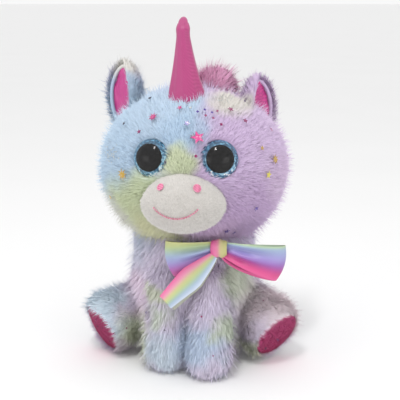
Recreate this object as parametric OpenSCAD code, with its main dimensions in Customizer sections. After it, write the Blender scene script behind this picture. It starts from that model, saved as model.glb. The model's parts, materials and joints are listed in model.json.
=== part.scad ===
// Sitting plush unicorn with a ribbon bow. Millimetres, +Z up, the face looks along -Y.
// Every fabric cover is a thin shell with its own stuffing inside, as the toy is sewn.

/* [Head] */
// Width of the head over its skin
head_w = 122; // [118:1:124]
// Height and depth of the head
head_h = 104; // [102:1:106]
// Height of the middle of the head above the floor
head_z = 133; // [133:0.5:135]

/* [Face] */
// Diameter of an eye's clear dome
eye_d = 25; // [22:0.5:26]
// Height of the clear dome
dome_h = 7; // [6:0.5:8]
// Diameter of the black pupil
pupil_d = 18; // [14:0.5:19]
// Distance between the middles of the eyes
eye_gap = 45; // [43:0.5:47]
// Height of the eyes above the floor
eye_z = 146.5; // [144:0.5:148]
// Width of the muzzle
muzzle_w = 55; // [50:1:58]
// Height of the muzzle
muzzle_h = 39; // [36:1:40]
// Height of the middle of the muzzle above the floor
muzzle_z = 118; // [117:0.5:120]

/* [Horn] */
// Length of the horn above its root
horn_len = 50; // [40:1:56]
// Diameter of the horn at its root
horn_d = 24; // [20:0.5:24.5]
// Diameter of the horn's round tip
horn_tip_d = 6.4; // [5:0.2:8]

/* [Ears] */
// Height of an ear's leaf
ear_h = 46; // [42:1:50]
// Width of an ear's leaf, laid open
ear_w = 27; // [24:0.5:28]
// Depth of an ear from its fold to its edges
ear_t = 17; // [15:0.5:18]

/* [Body] */
// Diameter of the chest
chest_d = 77; // [75:1:79]
// Diameter of the belly at the hips
belly_d = 88; // [87:0.5:89]
// Height of the cut where the neck begins
neck_cut_z = 78; // [77:0.5:79]

/* [Legs] */
// Diameter of a front leg at its shoulder
arm_d = 22; // [20:0.5:23]
// Diameter of a front paw
paw_d = 25.4; // [23:0.2:26]
// Diameter of a hind leg at its hip
thigh_d = 30; // [28:0.5:31]
// Diameter of a hind foot
foot_d = 38; // [36:0.5:39]

/* [Bow] */
// Width of the satin ribbon
ribbon_w = 25; // [22:1:25]
// Thickness of one free ribbon tail
ribbon_t = 1; // [0.8:0.1:1.2]
// Width that a hanging tail of the ribbon shows, curled as it is
tail_ribbon_w = 15; // [12:1:16]
// Length of the front tail
tail_ribbon_len = 32; // [28:1:34]

/* [Fabric] */
// Thickness of the plush fabric's backing and pile root
skin_t = 1.6; // [1.2:0.1:2]

/* [Hidden] */
$fn = 180;

seam = 0.05;        // half the gap between two panels of one cover
fit = 0.1;          // gap between a cover and its stuffing
run = 0.4;          // gap round a ball where two bodies turn on each other
shoulder_room = 3.4;  // gap round a shoulder, so the leg can swing
arm_room = 1.2;       // gap behind the top of a front leg
paw_room = 1;         // gap behind a front paw
arm_swing = 20;       // how far a front leg swings forward, degrees
far = 400;

head_c = [1, -10, head_z];
head_cap_r = 44;    // radius of the cheeks' round ends
head_seam_y = -9.35; // seam from ear to ear, between the horn and the ears
neck_c = [1, -4, 84];
neck_r = 22;

chest_c = [1, -4, 58];
belly_c = [1, 1, 36];

muzzle_c = [0.5, -57, muzzle_z];
muzzle_s = [muzzle_w / 2, 21, muzzle_h / 2];
muzzle_t = 1.2;

horn_c = [-1.6, -23, 180.5];
horn_dir = [-3, 0, 56];

// Each ear: middle of its root, then the turn of its opening from straight ahead
ear_root = [[-47, -2, 166], [48, -2, 164]];
ear_turn = [-45, 68];
ear_root_r = 6.5;

// Each front leg: shoulder and middle of the paw
shoulder = [[-13, -33, 60], [16, -35, 60]];
paw = [[-12.5, -45, 13.1], [17, -53, 13.1]];

// Each hind leg: middle of the sole and the way the sole faces
sole = [[-60.8, -26, 19.6], [60.1, -27, 20.4]];
sole_dir = [[-0.72, -0.60, -0.36], [0.67, -0.60, -0.44]];
hip_to_sole = 27;
foot_to_sole = 10;

tail_root = [0, 40, 31];
tail_dir = [0, 0.866, -0.5];
tail_len = 34.6;

neck_ribbon_z = 71.6;   // lower edge, clear of the shoulders
knot_c = [22.7, -47, 85.5];
knot_s = [5.6, 4.6, 6];
loop_start = 5.9;       // a loop begins this far from the knot's middle
left_loop_end = [-10.5, -51, 79];
right_loop_end = [62, -46, 77];
tail_ribbon_top = [12, -55, 75];
tail_ribbon_end = [-11, -65, 58];
tail_ribbon_gap = 1.6;  // from the front tail's middle to the back one's

function unit(v) = v / norm(v);
// Radius of the long arc of an oval with half length a, half height b and end radius r
function long_arc(a, b, r) = (b * b + pow(a - r, 2) - r * r) / (2 * (b - r));
// Radius of the oval's round section at x along its length
function girth(a, b, r, x) = b - long_arc(a, b, r) + sqrt(pow(long_arc(a, b, r), 2) - x * x);
function head_front(x, z) = [x, head_c.y - sqrt(
    pow(girth(head_w / 2, head_h / 2, head_cap_r, x - head_c.x), 2) - pow(z - head_c.z, 2)), z];
function eye_place(side) = head_front(head_c.x + 0.4 + side * eye_gap / 2, eye_z);
function eye_dir(side) = unit([side * 0.25, -0.94, 0.2]);

module ell(c, s) {
    translate(c) scale(s / s.x) sphere(r = s.x);
}

// An oval turned about X: two round ends of radius r joined by long arcs, extra larger all over
module oval(a, b, r, extra) {
    big = long_arc(a, b, r);
    join_z = big * (a - r) / (big - r);
    rotate([0, 90, 0]) rotate_extrude() intersection() {
        union() {
            for (end = [-1, 1])
                translate([0, end * (a - r)]) circle(r = r + extra);
            intersection() {
                translate([b - big, 0]) circle(r = big + extra);
                translate([-far / 2, -join_z]) square([far, 2 * join_z]);
            }
        }
        translate([0, -far / 2]) square([far, far]);
    }
}

module head_form(extra) {
    translate(head_c) oval(head_w / 2, head_h / 2, head_cap_r, extra);
}

module muzzle_form(extra) {
    ell(muzzle_c, muzzle_s + extra * [1, 1, 1]);
}

// Turns +Z to point along dir
module aim(dir) {
    rotate([0, acos(dir.z / norm(dir)), atan2(dir.y, dir.x)]) children();
}

module at_y(y, side) {
    translate([-far / 2, side > 0 ? y : y - far, -far / 2]) cube(far);
}

module at_x(x, side) {
    translate([side > 0 ? x : x - far, -far / 2, -far / 2]) cube(far);
}

module above(z) {
    translate([-far / 2, -far / 2, z]) cube(far);
}

// A stuffed limb along +Z: a ball at its root, a taper and a ball at its end
module limb(r1, r2, len) {
    rotate_extrude() intersection() {
        union() {
            circle(r = r1);
            translate([0, len]) circle(r = r2);
            polygon([[0, 0], [r1, 0], [r2, len], [0, len]]);
        }
        translate([0, -far / 2]) square([far, far]);
    }
}

// ---- Head ----

module neck_ball(extra) {
    translate(neck_c) sphere(r = neck_r + extra);
}

// Everything that is sunk into the head: neck, horn, ears, eyes and muzzle root
module head_recesses() {
    neck_ball(run);
    translate(horn_c) sphere(r = horn_d / 2 + 1.2);
    translate(horn_c) aim(horn_dir) cylinder(r = horn_d / 2 + 0.9, h = 12);
    for (i = [0, 1])
        translate(ear_root[i]) sphere(r = ear_root_r + run);
    for (side = [-1, 1])
        translate(eye_place(side)) aim(eye_dir(side))
            translate([0, 0, -4.3]) cylinder(d = eye_d + 0.4, h = 20);
}

module head_skin() {
    difference() {
        head_form(0);
        head_form(-skin_t);
        head_recesses();
    }
}

// One of the cover's four panels: left or right, front or back
module head_panel(left_right, front_back, tint) {
    color(tint) intersection() {
        head_skin();
        at_y(head_seam_y + front_back * seam, front_back);
        at_x(head_c.x + left_right * seam, left_right);
    }
}

module head_front_left_panel() {
    head_panel(-1, -1, "#b9d2ea");
}

module head_front_right_panel() {
    head_panel(1, -1, "#c9a9d6");
}

module head_back_left_panel() {
    head_panel(-1, 1, "#a9c9e3");
}

module head_back_right_panel() {
    head_panel(1, 1, "#d3b9df");
}

// Fill: a big ball and one in each cheek, inside the cover
module head_fill() {
    cheek_r = head_cap_r - skin_t - fit;
    translate(head_c) {
        sphere(r = head_h / 2 - skin_t - fit);
        for (side = [-1, 1])
            translate([side * (head_w / 2 - head_cap_r), 0, 0]) sphere(r = cheek_r);
    }
}

module head_stuffing() {
    color("white") difference() {
        head_fill();
        head_recesses();
        for (side = [-1, 1])
            translate(eye_place(side)) aim(eye_dir(side))
                translate([0, 0, -26]) cylinder(r = 9.4, h = 26);
    }
}

// The part of an ellipsoid that stands out of the head's skin
module outside_head(clear) {
    difference() {
        children();
        head_form(clear);
    }
}

module muzzle_cover() {
    color("#e4e1de") outside_head(fit / 2) difference() {
        muzzle_form(0);
        muzzle_form(-muzzle_t);
        eye_clearance();
    }
}

module muzzle_stuffing() {
    color("white") outside_head(fit / 2) difference() {
        muzzle_form(-muzzle_t - fit);
        eye_clearance();
    }
}

module eye_clearance() {
    for (side = [-1, 1])
        translate(eye_place(side)) aim(eye_dir(side))
            translate([0, 0, -4]) cylinder(d = eye_d + 0.4, h = 20);
}

// Thread laid on the muzzle, cut from a thin layer over it
module on_muzzle(thread_t) {
    intersection() {
        difference() {
            muzzle_form(thread_t);
            muzzle_form(0.02);
        }
        children();
    }
}

module nostril(x, w, h) {
    color("#d9608f") on_muzzle(0.7)
        translate([x, muzzle_c.y, muzzle_c.z + 9]) rotate([90, 0, 0])
            scale([1, h / w, 1]) cylinder(d = w, h = 40);
}

module left_nostril() {
    nostril(muzzle_c.x - 11, 4, 4.4);
}

module right_nostril() {
    nostril(muzzle_c.x + 9.5, 4.6, 5.2);
}

// Eleven straight stitches along a shallow arc
module smile_stitches() {
    smile_r = 19;
    color("#c9386f") on_muzzle(0.6)
        for (i = [-5:5])
            translate([muzzle_c.x - 2, muzzle_c.y, muzzle_c.z + smile_r - 10.5]) rotate([90, 0, 0])
                rotate(-90 + i * 8) translate([smile_r, 0, 20]) cube([0.9, 2.1, 40], center = true);
}

// ---- Eyes ----

// Places an eye's piece that starts back millimetres behind the skin
module eye_part(side, back) {
    translate(eye_place(side)) aim(eye_dir(side)) translate([0, 0, -back]) children();
}

module eye_dome(side) {
    ball_r = (pow(eye_d / 2, 2) + pow(dome_h, 2)) / (2 * dome_h);
    color("#a8d8f0") eye_part(side, 2.2) rotate_extrude() intersection() {
        translate([0, dome_h - ball_r]) circle(r = ball_r);
        square([eye_d, dome_h]);
    }
}

module eye_pupil(side) {
    color("black") eye_part(side, 2.6) cylinder(d = pupil_d, h = 0.38);
}

module eye_glitter_disc(side) {
    color("#3e6a86") eye_part(side, 3.2) cylinder(d = eye_d, h = 0.58);
}

module eye_shank(side) {
    color("#222222") eye_part(side, 22) {
        cylinder(d = 4, h = 18);
        translate([0, 0, 17.9]) cylinder(d = eye_d - 0.6, h = 0.88);
    }
}

module eye_washer(side) {
    color("#dddddd") eye_part(side, 10) difference() {
        cylinder(d = 18, h = 2);
        translate([0, 0, -1]) cylinder(d = 4.1, h = 4);
    }
}

module left_eye_dome() {
    eye_dome(-1);
}

module right_eye_dome() {
    eye_dome(1);
}

module left_eye_pupil() {
    eye_pupil(-1);
}

module right_eye_pupil() {
    eye_pupil(1);
}

module left_eye_glitter_disc() {
    eye_glitter_disc(-1);
}

module right_eye_glitter_disc() {
    eye_glitter_disc(1);
}

module left_eye_shank() {
    eye_shank(-1);
}

module right_eye_shank() {
    eye_shank(1);
}

module left_eye_washer() {
    eye_washer(-1);
}

module right_eye_washer() {
    eye_washer(1);
}

// ---- Mane, horn and ears ----

// A tuft behind the horn and a strip down the middle of the back of the head
module mane() {
    color("#d08abb") outside_head(0.2) {
        ell([14, 8, 188], [11, 9, 9.5]);
        intersection() {
            head_form(6);
            translate([head_c.x - 8, 10, 104]) cube([16, 80, 100]);
        }
    }
}

module horn_solid(less) {
    translate(horn_c) aim(horn_dir)
        limb(horn_d / 2 - less, horn_tip_d / 2 - less, horn_len);
}

module horn_cover() {
    color("#bf4b83") difference() {
        horn_solid(0);
        horn_solid(0.8);
    }
}

module horn_stuffing() {
    color("white") horn_solid(0.8 + fit);
}

module ear_frame(i) {
    translate(ear_root[i] + [i == 0 ? -3 : 2, 0, ear_h / 2 - 6]) rotate([0, 0, ear_turn[i]]) children();
}

module ear_leaf(i) {
    ear_frame(i) ell([0, 0, 0], [ear_w / 2, ear_t / 2, ear_h / 2]);
}

// The hollow of a folded ear, open towards the ear's own front
module ear_cup(i, less) {
    ear_frame(i)
        ell([0, -6.5, 0.5], [ear_w / 2 - 2.5 - less, ear_t / 2 - 0.5 - less, ear_h / 2 - 3 - less]);
}

module ear_back(i) {
    color(i == 0 ? "#c8dcec" : "#d3b9df") {
        difference() {
            outside_head(3) ear_leaf(i);
            ear_cup(i, 0);
        }
        difference() {
            translate(ear_root[i]) union() {
                sphere(r = ear_root_r);
                cylinder(r = ear_root_r - 2, h = 11);
            }
            ear_cup(i, 0);
        }
    }
}

module ear_lining(i) {
    color("#c04080") intersection() {
        difference() {
            ear_cup(i, 0.03);
            ear_cup(i, 0.9);
        }
        outside_head(3) ear_leaf(i);
    }
}

module left_ear_back() {
    ear_back(0);
}

module left_ear_lining() {
    ear_lining(0);
}

module right_ear_back() {
    ear_back(1);
}

module right_ear_lining() {
    ear_lining(1);
}

// ---- Body ----

module body_form(less) {
    intersection() {
        union() {
            translate(chest_c) sphere(r = chest_d / 2 - less);
            translate(belly_c) sphere(r = belly_d / 2 - less);
        }
        above(less);
        translate([0, 0, neck_cut_z - less - far]) above(0);
    }
}

// A ball socket with a cone that opens outwards along dir, for a limb to turn in
module socket(root, dir, r, flare) {
    translate(root) {
        sphere(r = r);
        aim(dir) cylinder(r1 = r - 0.5, r2 = r + flare, h = 30);
    }
}

module body_recesses() {
    neck_ball(run);
    for (i = [0, 1]) {
        arm_dir = paw[i] - shoulder[i];
        translate(shoulder[i]) sphere(r = arm_d / 2 + shoulder_room);
        for (turn = [0, arm_swing]) translate(shoulder[i]) rotate([-turn, 0, 0]) aim(arm_dir)
            cylinder(r1 = arm_d / 2 + arm_room, r2 = paw_d / 2 + paw_room, h = norm(arm_dir) + paw_d / 2);
        socket(hip(i), sole_dir[i], thigh_d / 2 + 1.8, 27);
    }
    socket(tail_root, tail_dir, 6, 20);
}

module torso_skin() {
    difference() {
        body_form(0);
        body_form(skin_t);
        body_recesses();
    }
}

module torso_panel(left_right, front_back, tint) {
    color(tint) intersection() {
        torso_skin();
        above(skin_t + seam);
        at_y(front_back * seam, front_back);
        at_x(belly_c.x + left_right * seam, left_right);
    }
}

module torso_front_left_panel() {
    torso_panel(-1, -1, "#c3bfdc");
}

module torso_front_right_panel() {
    torso_panel(1, -1, "#c9afd6");
}

module torso_back_left_panel() {
    torso_panel(-1, 1, "#a9b9d0");
}

module torso_back_right_panel() {
    torso_panel(1, 1, "#b9a0cc");
}

// Flat disc that the toy sits on
module seat_panel() {
    color("#d8d4c0") difference() {
        body_form(0);
        above(skin_t);
    }
}

module bag_form(extra) {
    ell([0, 6, 15], [25 + extra, 23 + extra, 11 + extra]);
}

module pellet_bag() {
    color("#e8e8e8") bag_form(0);
}

module torso_stuffing() {
    color("white") difference() {
        body_form(skin_t + fit);
        body_recesses();
        bag_form(fit);
    }
}

module neck_stuffing() {
    color("white") neck_ball(0);
}

// ---- Front legs ----

module front_leg_solid(i, less) {
    run_dir = paw[i] - shoulder[i];
    translate(shoulder[i]) aim(run_dir) limb(arm_d / 2 - less, paw_d / 2 - less, norm(run_dir));
}

module front_leg_cover(i) {
    color(i == 0 ? "#b9cfa9" : "#9dbbdd") difference() {
        front_leg_solid(i, 0);
        front_leg_solid(i, skin_t);
    }
}

module front_leg_stuffing(i) {
    color("white") front_leg_solid(i, skin_t + fit);
}

module front_left_leg_cover() {
    front_leg_cover(0);
}

module front_left_leg_stuffing() {
    front_leg_stuffing(0);
}

module front_right_leg_cover() {
    front_leg_cover(1);
}

module front_right_leg_stuffing() {
    front_leg_stuffing(1);
}

// ---- Hind legs ----

function hip(i) = sole[i] - hip_to_sole * unit(sole_dir[i]);

module hind_leg_form(i, less) {
    translate(hip(i)) aim(sole_dir[i])
        limb(thigh_d / 2 - less, foot_d / 2 - less, hip_to_sole - foot_to_sole);
}

// Half space on the leg's side of its sole
module behind_sole(i, less) {
    translate(sole[i]) aim(sole_dir[i]) translate([-far / 2, -far / 2, -far - less]) cube(far);
}

module hind_leg_cover(i) {
    color(i == 0 ? "#b5c8dc" : "#dfc4d4") difference() {
        intersection() {
            hind_leg_form(i, 0);
            behind_sole(i, 0);
        }
        intersection() {
            hind_leg_form(i, skin_t);
            behind_sole(i, skin_t);
        }
        sole_pad_form(i);
    }
}

module hind_leg_stuffing(i) {
    color("white") intersection() {
        hind_leg_form(i, skin_t + fit);
        behind_sole(i, skin_t + fit);
    }
}

module sole_pad_form(i) {
    pad_r = sqrt(pow(foot_d / 2, 2) - pow(foot_to_sole, 2)) - 1;
    translate(sole[i]) aim(sole_dir[i]) translate([0, 0, -0.8]) cylinder(r = pad_r, h = 1.6);
}

module sole_pad(i) {
    color("#b0457a") sole_pad_form(i);
}

module hind_left_leg_cover() {
    hind_leg_cover(0);
}

module hind_left_leg_stuffing() {
    hind_leg_stuffing(0);
}

module hind_left_sole_pad() {
    sole_pad(0);
}

module hind_right_leg_cover() {
    hind_leg_cover(1);
}

module hind_right_leg_stuffing() {
    hind_leg_stuffing(1);
}

module hind_right_sole_pad() {
    sole_pad(1);
}

// ---- Tail ----

module tail_solid(less) {
    translate(tail_root) aim(tail_dir) limb(5 - less, 8 - less, tail_len);
}

module tail_cover() {
    color("#d08abb") difference() {
        tail_solid(0);
        tail_solid(1);
    }
}

module tail_stuffing() {
    color("white") tail_solid(1 + fit);
}

// ---- Bow ----

// Ribbon tied round the top of the chest, under the chin
module neck_ribbon() {
    color("#b7a4d6") intersection() {
        difference() {
            translate(chest_c) sphere(r = chest_d / 2 + 1.2);
            translate(chest_c) sphere(r = chest_d / 2 + 0.1);
        }
        above(neck_ribbon_z);
        translate([0, 0, neck_ribbon_z + 6 - far]) above(0);
    }
}

module bow_knot() {
    color("#e06aa0") {
        ell(knot_c, knot_s);
        intersection() {
            translate([knot_c.x, knot_c.y, knot_c.z - 12]) rotate([-90, 0, 0])
                cylinder(r = 2.5, h = 20);
            difference() {
                at_y(knot_c.y - 1, 1);
                translate(chest_c) sphere(r = chest_d / 2 + 1.3);
            }
            at_y(-20, -1);
        }
        translate([knot_c.x, knot_c.y + 1.5, knot_c.z - 12]) cylinder(r = 2.5, h = 10);
    }
}

// A pinched loop of ribbon, from the knot to its wide end
module bow_loop(start, end) {
    run_dir = end - start;
    translate(start) aim(run_dir) scale([1, 0.36, 1])
        cylinder(r1 = 4.6, r2 = ribbon_w / 2 - 1, h = norm(run_dir));
}

module bow_left_loop() {
    color("#c3cf9a") bow_loop(knot_c - [loop_start, 0, 0], left_loop_end);
}

module bow_right_loop() {
    color("#a9a4d8") bow_loop(knot_c + [loop_start, 0, 0], right_loop_end);
}

// A flat free end of ribbon that hangs from the knot, back millimetres behind the front one
module ribbon_tail(back, len) {
    translate(tail_ribbon_top + [0, back, 0]) aim(tail_ribbon_end - tail_ribbon_top)
        translate([-tail_ribbon_w / 2, -ribbon_t / 2, 0]) cube([tail_ribbon_w, ribbon_t, len]);
}

module bow_front_tail() {
    color("#d7a0a8") ribbon_tail(0, tail_ribbon_len);
}

module bow_back_tail() {
    color("#9a9aa8") ribbon_tail(tail_ribbon_gap, tail_ribbon_len + 1.5);
}

torso_front_left_panel();
torso_front_right_panel();
torso_back_left_panel();
torso_back_right_panel();
seat_panel();
torso_stuffing();
pellet_bag();
neck_stuffing();
neck_ribbon();
bow_knot();
bow_left_loop();
bow_right_loop();
bow_front_tail();
bow_back_tail();
head_front_left_panel();
head_front_right_panel();
head_back_left_panel();
head_back_right_panel();
head_stuffing();
muzzle_cover();
muzzle_stuffing();
left_nostril();
right_nostril();
smile_stitches();
left_eye_dome();
left_eye_pupil();
left_eye_glitter_disc();
left_eye_shank();
left_eye_washer();
right_eye_dome();
right_eye_pupil();
right_eye_glitter_disc();
right_eye_shank();
right_eye_washer();
mane();
horn_cover();
horn_stuffing();
left_ear_back();
left_ear_lining();
right_ear_back();
right_ear_lining();
front_left_leg_cover();
front_left_leg_stuffing();
front_right_leg_cover();
front_right_leg_stuffing();
hind_left_leg_cover();
hind_left_leg_stuffing();
hind_left_sole_pad();
hind_right_leg_cover();
hind_right_leg_stuffing();
hind_right_sole_pad();
tail_cover();
tail_stuffing();
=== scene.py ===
"""Sitting plush unicorn: tie-dyed furry covers, glitter eyes, a satin horn and a ribbon bow."""

import json
import math

import bmesh
import bpy
import numpy as np
from mathutils import Matrix, Vector, noise
from mathutils.bvhtree import BVHTree
from mathutils.kdtree import KDTree

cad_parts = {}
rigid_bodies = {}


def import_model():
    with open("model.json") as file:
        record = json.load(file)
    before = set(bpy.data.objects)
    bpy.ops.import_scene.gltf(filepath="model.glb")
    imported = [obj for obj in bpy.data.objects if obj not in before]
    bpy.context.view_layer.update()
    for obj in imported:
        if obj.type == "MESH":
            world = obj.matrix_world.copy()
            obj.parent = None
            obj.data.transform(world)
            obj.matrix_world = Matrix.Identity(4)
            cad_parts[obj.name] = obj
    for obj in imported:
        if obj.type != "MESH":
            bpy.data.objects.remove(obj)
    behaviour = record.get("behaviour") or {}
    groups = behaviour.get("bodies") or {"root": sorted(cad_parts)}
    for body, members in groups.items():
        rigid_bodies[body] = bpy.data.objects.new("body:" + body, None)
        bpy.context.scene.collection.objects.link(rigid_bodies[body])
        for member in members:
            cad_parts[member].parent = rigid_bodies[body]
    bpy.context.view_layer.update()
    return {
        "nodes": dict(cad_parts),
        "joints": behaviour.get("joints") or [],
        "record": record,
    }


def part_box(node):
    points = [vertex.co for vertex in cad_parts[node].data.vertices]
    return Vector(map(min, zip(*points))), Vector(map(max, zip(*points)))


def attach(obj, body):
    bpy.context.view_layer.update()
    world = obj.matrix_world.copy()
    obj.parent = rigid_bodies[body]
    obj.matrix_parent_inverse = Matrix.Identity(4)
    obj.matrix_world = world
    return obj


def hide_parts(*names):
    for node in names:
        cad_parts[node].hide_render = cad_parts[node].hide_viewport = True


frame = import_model()
MM = 0.001
anchors = {j["child"]: Vector(j["pos_m"]) for j in frame["joints"]}


# ---- Places taken from the frame ----


def span(*nodes):
    """Lowest and highest corner of several CAD nodes together."""
    boxes = [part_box(n) for n in nodes]
    low = Vector(min(b[0][i] for b in boxes) for i in range(3))
    high = Vector(max(b[1][i] for b in boxes) for i in range(3))
    return low, high


def middle(*nodes):
    low, high = span(*nodes)
    return (low + high) / 2


HEAD_PANELS = [f"head_{fb}_{lr}_panel" for fb in ("front", "back") for lr in ("left", "right")]
TORSO_PANELS = [f"torso_{fb}_{lr}_panel" for fb in ("front", "back") for lr in ("left", "right")]
head_low, head_high = span(*HEAD_PANELS)
head_centre = (head_low + head_high) / 2
# The neck is cut out of the head's underside, so its height comes from its depth
head_semi = Vector(((head_high.x - head_low.x) / 2, (head_high.y - head_low.y) / 2, 0))
head_semi.z = head_semi.y
head_centre.z = head_high.z - head_semi.z


# ---- Materials ----


def linear(colour):
    """An sRGB hex value as linear RGBA."""
    channels = [int(colour[i : i + 2], 16) / 255 for i in (1, 3, 5)]
    return [c / 12.92 if c <= 0.04045 else ((c + 0.055) / 1.055) ** 2.4 for c in channels] + [1]


def add(tree, kind, inputs=None, **settings):
    """Adds one shader node with its settings and its links or values."""
    node = tree.nodes.new("ShaderNode" + kind)
    for name, value in settings.items():
        setattr(node, name, value)
    for key, value in (inputs or {}).items():
        if isinstance(value, bpy.types.NodeSocket):
            tree.links.new(value, node.inputs[key])
        else:
            node.inputs[key].default_value = value
    return node


def finish(name, **fixed):
    """A new material, its node tree and its shader with the fixed sockets set."""
    material = bpy.data.materials.new(name)
    material.use_nodes = True
    shader = material.node_tree.nodes["Principled BSDF"]
    for key, value in fixed.items():
        shader.inputs[key.replace("_", " ")].default_value = value
    return material, material.node_tree, shader


def speckle(tree, where, scale, detail=2.0):
    """Cloudy noise from 0 to 1 in the space of where."""
    return add(tree, "TexNoise", {"Vector": where, "Scale": scale, "Detail": detail}).outputs["Fac"]


def coloured(tree, shader, share, first, second):
    """Gives a shader two colours mixed by a share."""
    mix = add(tree, "Mix", {0: share, 6: first, 7: second}, data_type="RGBA")
    tree.links.new(mix.outputs[2], shader.inputs["Base Color"])


def ramp(tree, fac, stops, blend="LINEAR"):
    """A colour ramp from (place, colour) stops."""
    node = add(tree, "ValToRGB", {"Fac": fac})
    elements = node.color_ramp.elements
    node.color_ramp.interpolation = blend
    while len(elements) < len(stops):
        elements.new(0.5)
    for element, (place, colour) in zip(elements, stops, strict=True):
        element.position = place
        element.color = linear(colour)
    return node.outputs["Color"]


def bumped(tree, shader, height, distance, strength=1.0):
    bump = add(tree, "Bump", {"Height": height, "Distance": distance, "Strength": strength})
    tree.links.new(bump.outputs["Normal"], shader.inputs["Normal"])


def faded(tint, white):
    """A dye as it shows on a white pile: part of every tint stays undyed."""
    return [c + (1 - c) * white for c in linear(tint)]


def dyed(tree, ground, spots, white):
    """Soft dye patches over a ground colour. A spot is x, y, z and reach in millimetres, and a colour."""
    where = add(tree, "TexCoord").outputs["Object"]
    wander = add(tree, "TexNoise", {"Vector": where, "Scale": 45.0, "Detail": 2.0})
    off = add(tree, "VectorMath", {0: wander.outputs["Color"], 1: (0.5, 0.5, 0.5)}, operation="SUBTRACT")
    bled = add(
        tree, "VectorMath", {0: off.outputs[0], 1: (0.026, 0.026, 0.026), 2: where}, operation="MULTIPLY_ADD"
    )
    colour = faded(ground, white)
    for x, y, z, reach, tint in spots:
        away = add(
            tree, "VectorMath", {0: bled.outputs[0], 1: (x * MM, y * MM, z * MM)}, operation="DISTANCE"
        )
        edge = {"From Min": 0.4 * reach * MM, "From Max": reach * MM, "To Min": 1.0, "To Max": 0.0}
        edge["Value"] = away.outputs["Value"]
        share = add(tree, "MapRange", edge, interpolation_type="SMOOTHSTEP")
        shades = {0: share.outputs["Result"], 6: colour, 7: faded(tint, white)}
        mixed = add(tree, "Mix", shades, data_type="RGBA")
        colour = mixed.outputs[2]
    return colour


def plush(name, ground, spots=(), root=0.82, painted_tip_highlight=0.16, sheen=0.2, fade=0.0):
    """Knitted polyester plush. Its pile is darker at the root with painted shade and lighter at the tip with
    a painted highlight; a cover without the strand attributes takes the root's painted shade all over.
    """
    material, tree, shader = finish(
        name, Roughness=0.85, Sheen_Weight=sheen, Sheen_Roughness=0.5, Specular_IOR_Level=0.25
    )
    colour = dyed(tree, ground, spots, fade)
    along = add(tree, "Attribute", attribute_name="along").outputs["Fac"]
    strand = add(tree, "Attribute", attribute_name="strand").outputs["Fac"]
    # painted shade: root sets how much darker the pile is towards its root
    depth = add(tree, "MapRange", {"Value": along, "To Min": root, "To Max": 1.0}).outputs["Result"]
    vary = add(tree, "MapRange", {"Value": strand, "To Min": 0.9, "To Max": 1.08}).outputs["Result"]
    shade = add(tree, "Math", {0: depth, 1: vary}, operation="MULTIPLY").outputs[0]
    colour = colour if spots else colour[:3]
    deep = add(tree, "VectorMath", {0: colour, "Scale": shade}, operation="SCALE").outputs[0]
    # painted highlight: the tips are mixed towards white
    white = add(tree, "Math", {0: along, 1: painted_tip_highlight}, operation="MULTIPLY").outputs[0]
    coloured(tree, shader, white, deep, linear("#FFFFFF"))
    return material


HEAD_DYE = [
    (-52, -20, 150, 82, "#A9CDEB"),
    (-14, -40, 180, 40, "#B4D3EE"),
    (-2, -56, 164, 22, "#A6CBEA"),
    (-2, -62, 143, 19, "#D9E4B4"),
    (-22, -54, 124, 20, "#D0E0AC"),
    (-38, -44, 110, 30, "#C2D092"),
    (-18, -36, 90, 34, "#C6C684"),
    (-46, -20, 100, 28, "#C6C6B4"),
    (27, -24, 181, 20, "#E2DCD2"),
    (40, -36, 104, 40, "#C295D2"),
    (22, -40, 92, 26, "#BC8CC6"),
    (56, -22, 130, 24, "#D2AEDC"),
    (-30, 36, 150, 36, "#C4D4A6"),
    (32, 34, 112, 40, "#A9C9EA"),
    (24, 34, 168, 30, "#E2C4E8"),
    (-20, 30, 108, 34, "#C8B0DE"),
    (-46, -6, 202, 17, "#EFECE4"),
    (-44, -6, 176, 20, "#B2D4F0"),
]
BODY_DYE = [
    (-36, -14, 88, 34, "#A9BFE0"),
    (-42, -20, 66, 26, "#B9BCE2"),
    (-36, -30, 44, 28, "#ECC8EC"),
    (-32, -36, 16, 26, "#E0E8BC"),
    (-20, -42, 50, 12, "#C6CFA4"),
    (14, -42, 74, 26, "#CEB0DE"),
    (36, -30, 58, 24, "#BCCBA2"),
    (42, 4, 88, 28, "#9C86C6"),
    (-14, -48, 36, 14, "#BBCDAE"),
    (-13, -54, 14, 22, "#B2CCE4"),
    (14, -46, 50, 17, "#CBB2DC"),
    (10, -58, 22, 24, "#9CC0EA"),
    (27, -50, 30, 17, "#B6CAA2"),
    (22, -56, 6, 14, "#A6C4DE"),
    # left hind foot: partly its own light blue, partly painted light, raised near white against the shade on
    # its top
    (-64, -26, 32, 34, "#C4E0F4"),
    (-50, -30, 4, 16, "#DCC4D8"),
    # right hind foot: partly its own pale dye, partly painted light, raised near white against the shade on
    # its top
    (60, -18, 32, 38, "#FCE6EE"),
    (44, -36, 6, 18, "#C6CE9E"),
    (30, 32, 40, 38, "#A9C9EA"),
    (-30, 34, 60, 34, "#C6D2A4"),
    (0, 42, 76, 28, "#D6B8E2"),
]
# root and the tip value set each plush's painted shade at the root and painted highlight at the tip
head_plush = plush("tie_dyed_plush_head", "#D6B4E4", HEAD_DYE, fade=0.19)
body_plush = plush("tie_dyed_plush_body", "#CDB8E2", BODY_DYE, root=0.95, painted_tip_highlight=0.2, fade=0.38)
mane_plush = plush("long_pile_plush_pink", "#EA94C8", root=0.8, painted_tip_highlight=0.3)
muzzle_plush = plush("short_pile_minky_white", "#DEDAD5", root=0.92, painted_tip_highlight=0.1, sheen=0.15)
pad_plush = plush("short_pile_minky_pink", "#D2508F", root=1.0, painted_tip_highlight=0.04, sheen=0.2)


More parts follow.
